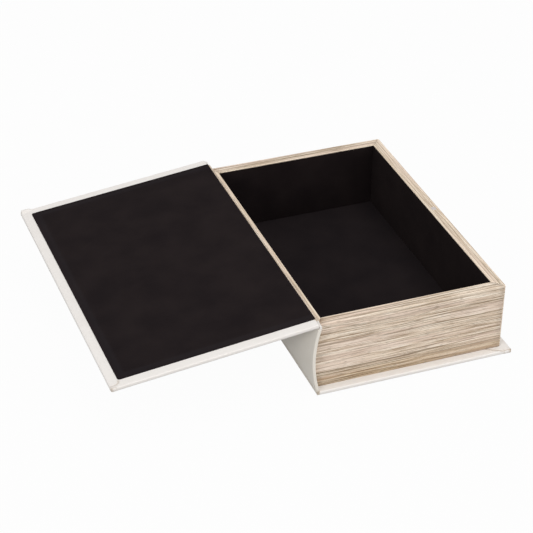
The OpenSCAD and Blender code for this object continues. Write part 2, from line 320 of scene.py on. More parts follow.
def makeOakPaper(name, shift, lines):
    look = oakPaperLook
    material, tree, shader = newMaterial(name, Roughness=look["roughness"], Specular_IOR_Level=look["specular"])
    uv = add(tree, "UVMap", uv_map="grain")
    flat = add(tree, "VectorMath", {0: uv, 1: (1 / mm, 1 / mm, 0), 2: (shift, 0, 0)}, operation="MULTIPLY_ADD")
    waves, swing = look["wander"]
    wander = add(tree, "Math", {0: drawnOut(tree, flat, waves, 0), 1: swing, 2: -swing / 2},
                 operation="MULTIPLY_ADD")
    grain = add(tree, "VectorMath", {0: flat, 1: add(tree, "CombineXYZ", {"Y": wander})}, operation="ADD")
    apart = add(tree, "SeparateXYZ", {0: grain}).outputs

    # The tone is a half plus each layer's swing about its own middle
    level = 0.5 - sum(swing for waves, swing in look["streaks"]) / 2
    for turn, (waves, swing) in enumerate(look["streaks"]):
        streaks = drawnOut(tree, grain, waves, 5.0 * turn, 2.0)
        level = add(tree, "Math", {0: streaks, 1: swing, 2: level}, operation="MULTIPLY_ADD")
    colour = add(tree, "ValToRGB", {"Fac": level})
    stops = colour.color_ramp.elements
    stops[0].position, stops[0].color = 0.0, linear(look["dark"])
    stops[1].position, stops[1].color = look["creamStop"], linear(look["cream"])
    for spot, key in look["stops"]:
        stops.new(spot).color = linear(look[key])

    # Layers over it, each with its share, its colour and how it is laid on
    layers = []
    for turn, (waves, low, high, most, key) in enumerate(look["spots"]):
        noise = drawnOut(tree, grain, waves, 29.0 + 7 * turn)
        layers.append((add(tree, "MapRange", {0: noise, 1: low, 2: high, 3: 0.0, 4: most}), key, "MIX"))

    # The browner foot, broken up by streaks: partly the print and partly painted shade where the wall meets the
    # cover
    low, high = look["footFade"]
    fade = add(tree, "MapRange", {0: apart["Y"], 1: low, 2: high, 3: 1.0, 4: 0.0})
    waves, low, high, least = look["footBreaks"]
    noise = drawnOut(tree, grain, waves, 31.0)
    broken = add(tree, "MapRange", {0: noise, 1: low, 2: high, 3: least, 4: 1.0})
    layers.append((add(tree, "Math", {0: fade, 1: broken}, operation="MULTIPLY"), "foot", "MULTIPLY"))

    # Growth lines follow the contours of a drawn-out noise, and another noise makes them come and go
    waves, count = look["rings"]
    many = add(tree, "Math", {0: drawnOut(tree, grain, waves, 17.0), 1: count}, operation="MULTIPLY")
    contour = add(tree, "Math", {0: many, 1: 0.5}, operation="PINGPONG")
    thin = add(tree, "MapRange", {0: contour, 1: 0.0, 2: look["ringEdge"], 3: look["ringTone"], 4: 0.0})
    waves, low, high = look["ringBreaks"]
    noise = drawnOut(tree, grain, waves, 23.0)
    coming = add(tree, "MapRange", {0: noise, 1: low, 2: high, 3: 0.0, 4: 1.0})
    layers.append((add(tree, "Math", {0: thin, 1: coming}, operation="MULTIPLY"), "pore", "MIX"))

    # Long dark lines: each is dark within a millimetre of its own height, over a stretch of the length
    end = look["lineEnd"]
    for height, start, stop, depth, half in lines:
        off = add(tree, "Math", {0: apart["Y"], 1: height}, operation="SUBTRACT")
        away = add(tree, "Math", {0: off}, operation="ABSOLUTE")
        share = add(tree, "MapRange", {0: away, 1: look["lineCore"] * half, 2: half, 3: depth, 4: 0.0},
                    interpolation_type="SMOOTHSTEP")
        for spot, low, high in ((shift + start, 0.0, 1.0), (shift + stop, 1.0, 0.0)):
            fade = add(tree, "MapRange", {0: apart["X"], 1: spot - end, 2: spot + end, 3: low, 4: high},
                       interpolation_type="SMOOTHSTEP")
            share = add(tree, "Math", {0: share, 1: fade}, operation="MULTIPLY")
        layers.append((share, "pore", "MIX"))

    # The tone attribute: paler paper along the folds and on the hinge strips, partly bare paper and partly a
    # painted highlight on the rim's inner edge, and painted light on the fore rim's top
    wearAndHighlight = add(tree, "Attribute", attribute_name="tone").outputs["Fac"]
    layers.append((add(tree, "Math", {0: wearAndHighlight, 1: look["wearAndHighlight"]}, operation="MULTIPLY"), "core", "MIX"))
    for share, key, blend in layers:
        colour = add(tree, "Mix", {0: share, 6: colour, 7: linear(look[key])}, data_type="RGBA",
                     blend_type=blend).outputs[2]
    dress(tree, shader, look, colour, level)
    return material


# Nylon pile blown on to glued card. The eye gets a black that soaks up light, a dusty bloom at low angles,
# and clouds where the pile lies a little differently. The tone attribute mixes in a lighter grey: dust, and on
# the cover's lining a painted sheen along its raised border
flockLook = dict(colour="#1a1516", cloud="#231d1d", dustAndSheen="#2f2d31", bloom="#f0dcd6", bloomShare=0.03,
                 roughness=0.95, pile=0.45, pileShare=0.6, clouds=28.0, cloudEdge=(0.6, 1.0), strength=0.5,
                 depth=0.15)


def makeFlock():
    look = flockLook
    material, tree, shader = newMaterial(
        "nylonFlockBlack", Roughness=look["roughness"], Specular_IOR_Level=0.0, Sheen_Weight=look["bloomShare"],
        Sheen_Roughness=0.5, Sheen_Tint=linear(look["bloom"]))
    spot = add(tree, "TexCoord").outputs["Object"]
    cloud = add(tree, "TexNoise", {"Vector": spot, "Scale": 1 / (look["clouds"] * mm), "Detail": 4.0})
    pile = add(tree, "TexNoise", {"Vector": spot, "Scale": 1 / (look["pile"] * mm), "Detail": 2.0})
    both = add(tree, "Math", {0: pile, 1: look["pileShare"], 2: cloud}, operation="MULTIPLY_ADD")
    low, high = look["cloudEdge"]
    share = add(tree, "MapRange", {0: both, 1: low, 2: high, 3: 0.0, 4: 1.0})
    black, cloudy = linear(look["colour"]), linear(look["cloud"])
    colour = add(tree, "Mix", {0: share, 6: black, 7: cloudy}, data_type="RGBA").outputs[2]
    tone = add(tree, "Attribute", attribute_name="tone").outputs["Fac"]
    # Mixes in the dust and painted sheen colour by the tone attribute
    colour = add(tree, "Mix", {0: tone, 6: colour, 7: linear(look["dustAndSheen"])}, data_type="RGBA").outputs[2]
    dress(tree, shader, look, colour, pile)
    return material


# Fibreboard as pressed and sawn, left raw. The eye gets a dull brown with short pale and dark fibres
boardLook = dict(wall=("#8a6a48", "#a98a63"), cover=("#957651", "#b3946b"), roughness=0.85, fibre=1.2,
                 curl=1.5, strength=0.4, depth=0.1)


def makeBoard(name, part):
    look = boardLook
    darker, lighter = (linear(colour) for colour in look[part])
    material, tree, shader = newMaterial(name, Roughness=look["roughness"])
    spot = add(tree, "TexCoord").outputs["Object"]
    fibres = add(tree, "TexNoise", {"Vector": spot, "Scale": 1 / (look["fibre"] * mm), "Detail": 5.0,
                                    "Distortion": look["curl"]})
    colour = add(tree, "Mix", {0: fibres, 6: darker, 7: lighter}, data_type="RGBA").outputs[2]
    dress(tree, shader, look, colour, fibres)
    return material


# Neodymium magnet plated with nickel and tumbled, and a plated steel disc. The eye gets a bright metal,
# faintly clouded, duller in some patches than in others
nickelLook = dict(colours=("#d2cac7", "#beb7b5"), roughness=(0.18, 0.3), clouds=0.8)
zincLook = dict(colours=("#b9bcc0", "#a4a7ab"), roughness=(0.35, 0.47), clouds=1.5)


def makePlating(name, look):
    material, tree, shader = newMaterial(name, Metallic=1.0)
    lighter, darker = (linear(colour) for colour in look["colours"])
    smoothest, roughest = look["roughness"]
    spot = add(tree, "TexCoord").outputs["Object"]
    haze = add(tree, "TexNoise", {"Vector": spot, "Scale": 1 / (look["clouds"] * mm), "Detail": 4.0})
    tint = add(tree, "Mix", {0: haze, 6: lighter, 7: darker}, data_type="RGBA")
    rough = add(tree, "MapRange", {0: haze, 1: 0.3, 2: 0.7, 3: smoothest, 4: roughest})
    tree.links.new(tint.outputs[2], shader.inputs["Base Color"])
    tree.links.new(rough.outputs[0], shader.inputs["Roughness"])
    return material


coatedSheet = makeCoatedSheet("embossedCoatedPaperWhite", "covers")
spineSheet = makeCoatedSheet("embossedCoatedPaperCream", "spine")
flock = makeFlock()
# Long dark lines as height above the paper's foot, start, stop, depth of tone and half width. The rim starts
# at 59, and its lines are drawn wider, because it is seen at a slant
tailLines = [(12.6, -90, 5, 0.85, 0.85), (10.0, -88, 2, 0.5, 0.8), (13.3, -6, 28, 0.6, 1.1),
             (8.6, 8, 84, 0.4, 0.8), (3.8, -88, -10, 0.35, 0.8), (6.2, 20, 84, 0.35, 0.7),
             (17.3, 44, 84, 0.5, 0.8), (29.8, -90, -72, 0.5, 0.9), (28.8, -56, -34, 0.4, 0.8),
             (28.4, 0, 18, 0.35, 0.8), (30.9, 46, 70, 0.4, 0.8), (36.6, -30, 64, 0.55, 0.8),
             (38.7, -86, -34, 0.55, 0.9), (43.9, -6, 54, 0.5, 0.85), (47.5, 38, 84, 0.4, 1.0),
             (48.9, -86, -56, 0.35, 0.8), (51.2, -62, 0, 0.4, 0.8), (52.2, -4, 38, 0.4, 0.8),
             (56.6, -30, 84, 0.3, 0.8), (60.9, -90, 10, 0.4, 1.1), (63.0, -20, 90, 0.5, 1.1),
             (65.2, -90, 60, 0.45, 1.1)]
headLines = [(9.0, -60, 90, 0.6, 0.85), (21.0, -90, 10, 0.45, 0.85), (33.5, -20, 90, 0.5, 0.9),
             (45.0, -90, 40, 0.6, 0.85), (55.0, -30, 90, 0.5, 0.85), (61.4, -90, 60, 0.5, 1.1),
             (64.2, -60, 90, 0.5, 1.2), (66.4, -90, 0, 0.4, 1.0)]
foreLines = [(8.0, -130, 20, 0.6, 0.85), (16.5, -40, 130, 0.45, 0.9), (27.0, -130, 130, 0.55, 0.85),
             (36.0, -130, -10, 0.4, 0.8), (44.0, 10, 130, 0.6, 0.85), (53.0, -130, 60, 0.5, 0.85),
             (62.5, -130, 130, 0.6, 0.5), (65.0, -130, 130, 0.7, 0.45), (66.2, -60, 130, 0.4, 0.45)]
spineLines = [(11.9, -130, 60, 0.15, 1.2), (15.9, -130, 40, 0.12, 1.3)]
oakTail = makeOakPaper("printedOakPaperTail", 0.0, tailLines)
oakHead = makeOakPaper("printedOakPaperHead", 700.0, headLines)
oakFore = makeOakPaper("printedOakPaperFore", 1610.0, foreLines)
oakSpineRim = makeOakPaper("printedOakPaperSpineRim", 2600.0, spineLines)
wallBoard = makeBoard("rawFibreboard", "wall")
coverBoard = makeBoard("rawThinFibreboard", "cover")
nickel = makePlating("tumbledNickelPlating", nickelLook)
zinc = makePlating("platedSteelDisc", zincLook)
hidden = {**dict.fromkeys(("back_board", "spine_board", "front_board"), coverBoard), "catch_plate": zinc,
          **dict.fromkeys(("spine_wall", "tail_wall", "head_wall", "fore_edge_wall"), wallBoard)}
for node, material in hidden.items():
    for holder in frame["nodes"][node].material_slots:
        holder.material = material
print("materials made")


# Case: the covering sheet on its three boards

# The sheet gathered over a cover's fore-edge corner. u and v are the distances from the fore edge and
# from the end edge. Round the corner the folded layers make a nub: a bulge over nubL of the end edge, out past
# it and up over the turned-in face, with S-curved ends. From the nub a crease runs in, as a groove of Gaussian
# section with the flap beside it a little proud: a straight line from creaseU on the end edge at that slope, or
# with slope 0 a curve from the fore edge round to the lining's corner,
# (u / curveU)^3 + ((curveTop - v) / curveV)^3 = 1
foldShape = dict(facing=0.75, groove=0.25, grooveW=0.55, lap=0.18, lapW=5.0, lapRise=(0.05, 0.5), curveU=8,
                 curveTop=8, curveV=5, curvePast=1.5, straightL=24, straightFade=4, borderW=8.2,
                 nubRise=(-0.5, 1.2), outL=1.5, outLeast=0.25, upFlat=0.3)
# Strengths of the painted shade round the folded corners
foldTone = dict(grooveShade=0.7, line=0.6, rimV=(0.55, 0.3), rimHeight=(0.12, 0.1), rimL=1.0, end=0.5, endW=0.5,
                endL=2.0, tipR=2.0, tipEdge=0.3, under=0.25, underHeight=(0.05, 0.1), underL=1.3)
cornerFolds = dict(
    backNear=dict(nubL=6.8, soft=1.2, out=0.45, up=0.25, wide=2.5, creaseU=7.6, slope=0.565, depth=1.0,
                  flap=-1, tip=1.1),
    backFar=dict(nubL=6.0, soft=1.2, out=0.4, up=0.3, wide=2.5, creaseU=6.5, slope=0.6, depth=1.0,
                 flap=-1, tip=0.8),
    frontNear=dict(nubL=4.4, soft=1.2, out=0.3, up=0.45, wide=3.0, slope=0, depth=0.6, flap=1, tip=0.6),
    frontFar=dict(nubL=8.6, soft=2.2, out=0.9, up=1.5, wide=5.0, slope=0, depth=0.1, flap=1, tip=0.2))


# A bell curve about a middle: e^-((value - middle) / width)^2
def bell(value, middle, width):
    return np.exp(-((value - middle) / width) ** 2)


def foldCorner(grid, plan, fold):
    shape, tone, thickness = foldShape, foldTone, plan["inner"] - plan["outer"]
    u, v = plan["fore"] - grid[..., 0], coverY - np.abs(grid[..., 1])
    height = (grid[..., 2] - plan["outer"]) / thickness
    facing = smooth(height, shape["facing"], 1.0)
    edge = 1 - np.abs(2 * height - 1) ** 3
    if fold["slope"]:
        across = (v - fold["slope"] * (u - fold["creaseU"])) / math.hypot(1, fold["slope"])
        inFlap = smooth(shape["straightL"] - u, 0, shape["straightFade"])
    else:
        sideU = np.clip(u, 0, None) / shape["curveU"]
        sideV = np.clip(shape["curveTop"] - v, 0, None) / shape["curveV"]
        across = shape["curveV"] * (1 - np.cbrt(sideU ** 3 + sideV ** 3))
        inFlap = smooth(case["turnIn"] + shape["curvePast"] - np.maximum(u, v), 0, 1)
    inFlap = inFlap * facing * smooth(shape["borderW"] - v, 0, 0.5) * fold["depth"]
    groove = bell(across, 0, shape["grooveW"]) * inFlap
    raised = across * fold["flap"]
    lap = smooth(raised, *shape["lapRise"]) * np.exp(-np.maximum(raised, 0) / shape["lapW"]) * inFlap
    stop = 1 - smooth(u, fold["nubL"] - fold["soft"], fold["nubL"] + fold["soft"])
    along = smooth(u, *shape["nubRise"]) * stop
    bulge = shape["outLeast"] + (1 - shape["outLeast"]) * np.clip(edge, 0, 1)
    outwards = smooth(shape["outL"] - v, 0, shape["outL"]) * bulge * along
    upwards = (1 - smooth(v, shape["upFlat"] * fold["wide"], fold["wide"])) * facing * along
    moved = grid.copy()
    moved[..., 1] += np.sign(grid[..., 1]) * fold["out"] * outwards
    rise = fold["up"] * upwards + shape["lap"] * lap - shape["groove"] * groove
    moved[..., 2] += np.sign(thickness) * rise

    # Painted shade: brownish lines round the nub and across its end, a darker line in the crease's groove
    # and along the lower edge near the corner, and a darker tip
    rim = bell(v, *tone["rimV"]) * facing
    rim += bell(height, *tone["rimHeight"]) * smooth(tone["rimL"] - v, 0, 0.5)
    end = tone["end"] * bell(u, fold["nubL"], tone["endW"]) * smooth(tone["endL"] - v, 0, 1.0)
    tip = bell(np.hypot(u, np.maximum(v, 0)), 0, tone["tipR"]) * np.clip(edge + tone["tipEdge"], 0, 1)
    lines = (rim * along + end) * tone["line"] * fold["depth"]
    under = bell(height, *tone["underHeight"]) * smooth(tone["underL"] - np.minimum(u, v), 0, 0.5)
    return moved, np.clip(tone["grooveShade"] * groove + lines + fold["tip"] * tip + tone["under"] * under, 0, 1)


# A cover's sheet is rings of its section round the plan: from its hinge side to its fore edge, and from its
# outer to its inner face. folds are its near and far corner. The back cover has no turn-in along the spine,
# and the front cover a narrow one. The front one is drawn on the shut cover and then laid open
edgeR = 1.1  # rounding of the sheet over a board's edge
flatFrom = edgeR + land
overlap = 0.1  # how far the back cover's sheet runs in under the spine's
backPlan = dict(hinge=arcX(seatR, coverTop) - overlap, fore=coverX1, outer=0.0, inner=coverTop,
                hingeTurnIn=flatFrom, corners=(1.6, 1.6, 0.4, 0.4), folds=("backNear", "backFar"))
frontPlan = dict(hinge=1.3, fore=coverX1 - axisX, outer=0.9, inner=-2.5, hingeTurnIn=1.6,
                 corners=(1.8, 1.8, 1.2, 1.2), folds=("frontNear", "frontFar"))


def makeCoverSkin(plan):
    middle, thickness = (plan["fore"] - plan["hinge"]) / 2, plan["inner"] - plan["outer"]
    section, inward = wrapSection(abs(thickness), edgeR, middle, steps=28)
    d, h = section.T
    hingeD = np.where(inward, squeeze(d, flatFrom, case["turnIn"], plan["hingeTurnIn"]), d)
    grid = ringGrid((plan["hinge"], plan["fore"], -coverY, coverY), plan["corners"],
                    np.stack([hingeD, d, d, d], 1), plan["outer"] + np.sign(thickness) * h, growth=1.06)
    near, far = (foldCorner(grid, plan, cornerFolds[fold]) for fold in plan["folds"])
    isNear = grid[..., 1] < 0
    return np.where(isNear[..., None], near[0], far[0]), np.where(isNear, near[1], far[1])


def makeCoverSkins():
    grid, tone = makeCoverSkin(backPlan)
    grid[..., 2] = np.maximum(grid[..., 2], 0)  # nothing goes below the table
    place(meshFromGrid("backSkin", grid, tone=tone), "tray", "back_skin", coatedSheet)
    grid, tone = makeCoverSkin(frontPlan)
    piece = meshFromGrid("frontSkin", openCover(grid), tone=tone)
    place(piece, "cover", "front_skin", coatedSheet)


# The spine's sheet is a wrapped plate drawn flat, with s along the arc, and then bent round it: the angle is s
# over the outer radius, and the height in the section is taken off the radius. Along its foot it is painted
# darker by an S-curve of s, a painted shadow where it meets the table, and browner where it turns in at the
# foot's two ends
spineLook = dict(ends=7.15, edgeR=0.75, corners=(0.6, 0.8, 0.8, 0.6), rings=12, most=3.0, footShadow=0.42,
                 footShadowS=(-2.0, 12.0), outerH=1.2, least=0.05, endTone=0.7, endS=2.5, endW=2.2, endL=0.9)


def makeSpineSkin():
    look = spineLook
    thickness = 2 * case["sheet"] + case["spineBoard"]
    low = math.asin(-midZ / spineR)
    high = math.asin((spineTopZ - midZ) / spineR)
    length = (high - low) * spineR
    section, inward = wrapSection(thickness, look["edgeR"], length / 2, look["rings"])
    d, h = section.T
    start = look["edgeR"] + land
    widths = (coverTop, start + look["least"], look["ends"], look["ends"])
    insets = np.stack([np.where(inward, squeeze(d, start, case["turnIn"], w), d) for w in widths], 1)
    grid = ringGrid((0, length, -coverY, coverY), look["corners"], insets, h, most=look["most"])
    angle = low + grid[..., 0] / spineR
    radius = spineR - grid[..., 2]
    bent = gridOf(spineCentreX - radius * np.cos(angle), grid[..., 1], midZ + radius * np.sin(angle))
    s, away = grid[..., 0], coverY - np.abs(grid[..., 1])
    # Painted shadow along the spine's foot, where it meets the table
    paintedFootShadow = look["footShadow"] * (1 - smooth(s, *look["footShadowS"])) * (grid[..., 2] < look["outerH"])
    ends = look["endTone"] * bell(s, look["endS"], look["endW"]) * bell(away, 0, look["endL"])
    piece = meshFromGrid("spineSkin", bent, tone=np.maximum(paintedFootShadow, ends))
    place(piece, "tray", "spine_skin", spineSheet)


# The fold: a doubled sheet up from the spine and a round bead on the fold line. Its section is an arc of the
# bead between two sides that spread towards the spine by a quarter of a cosine wave. Past the ends of the tray
# it is symmetrical, leans out and sags by an S-curve, and its ends taper by a square, to a point. Along the
# tray its neck stands to the outside of the bead, which leaves room for the fold's paper when the box is
# shut. Heights are from the fold line
foldLook = dict(bead=0.9, foot=1.3, set=0.2, seat=0.1, neckTop=-0.67, beadLow=-0.8, endZ=-0.9, lean=0.2,
                sag=0.3, slackL=2.5, change=(-0.3, 0.5), taper=0.18, taperL=0.4, straight=(-124, 0, 8),
                stations=(0.0, 0.0, 0.12, 0.4, 1.0, 3.0, 5.5, 6.6, 7.2, 7.6))
foldEnd = dict(arc=(-48, 228), inner=0.72, outer=0.72)
foldAlong = dict(arc=(-110, 200), inner=-0.42, outer=0.92)


# Section of the fold, from foot round the bead to foot, and how far up the neck each point is
def foldSection(shape):
    look, inner, outer = foldLook, shape["inner"], shape["outer"]
    bead, foot = look["bead"], look["foot"]
    ring = np.radians(np.linspace(*shape["arc"], 25))
    t = np.linspace(0, 1, 9)[:-1]
    ease = 1 - np.sin(t * math.pi / 2)
    low = spineTopZ - look["seat"] - axisZ
    innerX = inner + (foot - inner) * ease - look["set"] * (1 - t)
    outerX = -outer - (foot - outer) * ease - look["set"] * (1 - t)
    innerZ = low + (bead * math.sin(ring[0]) - low) * t
    outerZ = low + (bead * math.sin(ring[-1]) - low) * t
    x = np.r_[innerX, bead * np.cos(ring), outerX[::-1]]
    z = np.r_[innerZ, bead * np.sin(ring), outerZ[::-1]]
    return x, z, np.clip((z - low) / (look["neckTop"] - low), 0, 1)


def makeFold():
    look = foldLook
    endX, endZ, endUp = foldSection(foldEnd)
    alongX, alongZ, _ = foldSection(foldAlong)
    y = np.r_[np.array(look["stations"]) - coverY, np.linspace(*look["straight"])]
    y = np.r_[y, -y[-2::-1]]
    past = np.abs(y)[:, None] - trayY
    inside = 1 - smooth(past, *look["change"])
    slack = smooth(past, 0, look["slackL"]) * endUp
    wide = 1 - look["taper"] * np.clip((np.abs(y) - coverY) / look["taperL"] + 1, 0, 1) ** 2
    wide[[0, -1]] = 0.0
    wide = wide[:, None]
    x = (endX + (alongX - endX) * inside) * wide - look["lean"] * slack
    z = endZ + (alongZ - endZ) * inside
    z = np.where(wide > 0, z * np.where(z > look["beadLow"], wide, 1), look["endZ"]) - look["sag"] * slack
    x[[0, -1]], z[[0, -1]] = -look["lean"], look["endZ"] - look["sag"]
    piece = meshFromGrid("hingeFold", gridOf(axisX + x, y[:, None], axisZ + z))
    place(piece, "tray", "hinge_strip", coatedSheet)


makeCoverSkins()
makeSpineSkin()
makeFold()
print("case made")


# Tray: printed paper outside and on the rim, flocked card inside

# Wear is its strength and its width, and innerRow and outerRow are the section's rows at its two folds. The
# inner fold's pale line is partly a painted highlight on the rounded inner edge, and rimPaintedLight paints the
# fore paper's rim top lighter, painted light on the top face
paperLook = dict(thickness=0.3, edgeR=0.6, innerR=0.4, drop=1.0, back=0.1, lift=0.05, liftRise=(0.1, 0.5),
                 returnW=1.35, arcR=1.2, gap=0.03, under=0.2, innerRow=-4, innerWearAndHighlight=(1.0, 0.7), outerRow=14,
                 outerWear=(0.3, 0.4), cornerWear=(0.4, 1.0), rimPaintedLight=0.3)


# Section of the paper as inset and height: up the face, a quarter circle over the edge, across the rim, a
# quarter circle into the tray and a short way down. With it come the length along it and its paler tone, a
# bell curve about each fold, where bare paper shows, and on the inner edge also a painted highlight
def paperSection(width, before=()):
    look = paperLook
    edge, inner = look["edgeR"], look["innerR"]
    t = quarter(6)
    rows = list(before)
    if not rows:
        rows += [[0, z] for z in np.linspace(coverTop, rimZ - edge - land, 12)]
        rows += list(zip(edge * (1 - np.cos(t)), rimZ - edge + edge * np.sin(t)))
    rows += [[d, rimZ] for d in np.linspace(rows[-1][0] + land, width - inner - land, 8)]
    innerD = width - look["back"]
    rows += list(zip(innerD - inner * (1 - np.sin(t)), rimZ - inner * (1 - np.cos(t))))
    rows += [[innerD, rimZ - look["drop"]]]
    d, z = np.array(rows, float).T
    along = np.r_[0, np.cumsum(np.hypot(np.diff(d), np.diff(z)))]
    strength, wide = look["innerWearAndHighlight"]
    wearAndHighlight = strength * bell(along, along[look["innerRow"]], wide)
    if not before:
        strength, wide = look["outerWear"]
        wearAndHighlight += strength * bell(along, along[look["outerRow"]], wide)
    return d, z, along, wearAndHighlight


# Shares of the way from end to end of the tray
longShares = sideShares(2 * trayY, first=2.0)
allShares = np.r_[0.0, longShares, 1.0]


# Gives a piece of paper or card its thickness, inwards from the face that shows
def thicken(piece, thickness):
    solid = piece.modifiers.new("thickness", "SOLIDIFY")
    solid.thickness = thickness * mm
    solid.offset = -1
    return piece


# An end paper: on each row, points keep their share of the way between a left and a right bound. The left
# one follows the spine's arc and then the mitre, the right one the seam and then the mitre
def makeEndPaper(name, node, side, material):
    look = paperLook
    wide = trayY - innerY
    d, z, along, wearAndHighlight = paperSection(wide)
    onRim = smooth(z, rimZ - look["edgeR"], rimZ)
    rimLeft = arcX(seatR, rimZ)
    left = np.where(d > 0, rimLeft + d * (innerX0 - rimLeft) / wide, arcX(seatR, z))
    left = left - look["under"] * (1 - onRim) + look["gap"] * onRim
    corner = trayX1 - np.maximum(d, look["arcR"])
    seam = trayX1 - look["returnW"]
    right = seam + (corner - look["gap"] - seam) * onRim
    x = left[:, None] + np.linspace(0, 1, 25) * (right - left)[:, None]
    grid = gridOf(x, side * (trayY - d)[:, None], z[:, None])
    uv = gridOf(x, along[:, None])
    if side > 0:
        grid, uv = grid[:, ::-1], uv[:, ::-1]
    piece = meshFromGrid(name, grid, closed=False, uv=uv, tone=wearAndHighlight[:, None])
    place(thicken(piece, look["thickness"]), "tray", node, material)


# The fore-edge paper: a path round the two upright corners, with a short return on both end faces. On the
# rim the returns and the corner arcs close up into the mitres
def makeForePaper():
    look = paperLook
    d, z, along, wearAndHighlight = paperSection(trayX1 - innerX1)
    fade = smooth(z, rimZ - look["edgeR"], rimZ)[:, None]
    radius = look["arcR"]
    centreX, centreY = trayX1 - radius, trayY - radius
    left = (radius - d)[:, None]
    angle = np.radians(np.linspace(-90, 0, 7))
    arcPx = centreX + np.maximum(left, 0) * np.cos(angle) + np.minimum(left, 0)
    arcPy = -centreY + np.maximum(left, 0) * np.sin(angle) - np.minimum(left, 0)
    part = np.linspace(0, 1, 6)[:-1]
    seam = trayX1 - look["returnW"]
    returnX = arcPx[:, :1] + (seam - arcPx[:, :1]) * (1 - part) * (1 - fade)
    lift = look["lift"] * smooth(1 - part, *look["liftRise"]) * (1 - fade)
    arcU = -trayY + (angle + math.pi / 2) * radius + 0 * arcPx
    tailX = np.hstack([returnX, arcPx])
    tailY = np.hstack([arcPy[:, :1] - lift, arcPy])
    tailU = np.hstack([-trayY - (arcPx[:, :1] - returnX), arcU])
    sideY = tailY[:, -1:] * (1 - 2 * longShares)
    x = np.hstack([tailX, tailX[:, -1:] + 0 * sideY, tailX[:, ::-1]])
    y = np.hstack([tailY, sideY, -tailY[:, ::-1]])
    u = np.hstack([tailU, sideY, -tailU[:, ::-1]])
    strength, wide = look["cornerWear"]
    corner = bell(u, -trayY, wide) + bell(u, trayY, wide)
    # Pale bare paper at the folds and upright corners, and rimPaintedLight as painted light on the rim's top
    tone = np.clip(wearAndHighlight[:, None] + strength * corner * (1 - fade) + look["rimPaintedLight"] * fade, 0, 1)
    piece = meshFromGrid("forePaper", gridOf(x, y, z[:, None]), closed=False, uv=gridOf(u, along[:, None]),
                         tone=tone)
    place(thicken(piece, look["thickness"]), "tray", "fore_edge_paper", oakFore)


# The strip on the spine wall's rim starts up at the fold. Its section is part of a circle round the fold's
# bead, straight down to the rim, a hollow quarter circle, and then as the other papers. It is mitred on the rim
# like them, and cut square inside the tray's ends on the fold
hingePaper = dict(radius=1.12, start=46.0, hollow=0.4, ends=0.35, pale=0.5, thickness=0.2, grainAt=14)


def makeSpineRimPaper():
    look, hinge = paperLook, hingePaper
    rimX, radius, hollow = arcX(seatR, rimZ), hinge["radius"], hinge["hollow"]
    turn = np.radians(np.linspace(hinge["start"], 0, 6))
    t = quarter(6)
    foldX = np.r_[axisX + radius * np.cos(turn), axisX + radius + hollow - hollow * np.cos(t)]
    foldZ = np.r_[axisZ + radius * np.sin(turn), rimZ + hollow * (1 - np.sin(t))]
    wide = innerX0 - rimX
    d, z, along, wearAndHighlight = paperSection(wide, before=list(zip(foldX - rimX, foldZ)))
    ends = trayY - hinge["ends"]
    mitred = trayY - np.maximum(d, 0) * (trayY - innerY) / wide - look["gap"]
    reach = np.where(np.arange(len(d)) < len(foldX), ends, np.minimum(mitred, ends))
    y = reach[:, None] * (1 - 2 * allShares)
    tone = np.clip(wearAndHighlight + hinge["pale"], 0, 1)[:, None]
    piece = meshFromGrid("spineRimPaper", gridOf((rimX + d)[:, None], y, z[:, None]), closed=False,
                         uv=gridOf(y, along[:, None] + hinge["grainAt"]), tone=tone)
    place(thicken(piece, hinge["thickness"]), "tray", "spine_rim_paper", oakSpineRim)


# The same paper on the front cover: from under its lining over the cover's edge by a quarter circle, and a
# piece of a circle over the fold's bead. That one turns with the cover round the bead, and is out of sight
# under it when the box is shut, as the folded paper is
coverEdgePaper = dict(offset=0.08, start=0.35, down=0.4, pale=0.5, crest=0.4, thickness=0.06, grainAt=8)
foldPaper = dict(radius=1.18, start=128.0, stop=84.0, pale=0.5, thickness=0.06, grainAt=11)


# A strip of the hinge's paper on the front cover, from its section in the shut cover's places
def makeCoverStrip(name, look, p, q, tone):
    along = np.r_[0, np.cumsum(np.hypot(np.diff(p), np.diff(q)))][:, None]
    y = (trayY - hingePaper["ends"]) * (1 - 2 * allShares)
    grid = openCover(gridOf(p[:, None], y, q[:, None]))
    piece = meshFromGrid(name, grid, closed=False, uv=gridOf(y, along + look["grainAt"]), tone=tone[:, None])
    place(thicken(piece, look["thickness"]), "cover", None, oakSpineRim)


def makeCoverPapers():
    look, plan = coverEdgePaper, frontPlan
    t = quarter(9)
    centreP, centreQ, radius = plan["hinge"] + edgeR, plan["inner"] + edgeR, edgeR + look["offset"]
    low = plan["outer"] - edgeR - look["down"]
    p = np.r_[centreP + look["start"], centreP - radius * np.sin(t), centreP - radius]
    q = np.r_[centreQ - radius, centreQ - radius * np.cos(t), low]
    makeCoverStrip("coverEdgePaper", look, p, q, look["pale"] + look["crest"] * (p < centreP))
    look = foldPaper
    angle = np.radians(np.linspace(look["start"], look["stop"], 11) - 180 - case["drop"])
    p, q = look["radius"] * np.cos(angle), look["radius"] * np.sin(angle)
    makeCoverStrip("foldPaper", look, p, q, look["pale"] + 0 * p)


# A flocked card with soft edges: rings from the middle of the back, round the edge by a quarter circle,
# to the middle of the front
cardLook = dict(soft=0.18, floorSoft=0.3, land=0.4, corner=0.3, under=0.05, floorTone=0.16)


def cardGrid(plan, thickness, soft):
    middle = min(plan[1] - plan[0], plan[3] - plan[2]) / 2
    t = quarter(5)
    rows = [[middle, 0], [0, 0], [0, thickness - soft - hair]]
    rows += list(zip(soft * (1 - np.cos(t)), thickness - soft + soft * np.sin(t)))
    rows += [[soft + cardLook["land"], thickness], [middle, thickness]]
    d, h = np.array(rows, float).T
    return ringGrid(plan, (cardLook["corner"],) * 4, np.stack([d] * 4, 1), h, arcSteps=4, first=1.5)


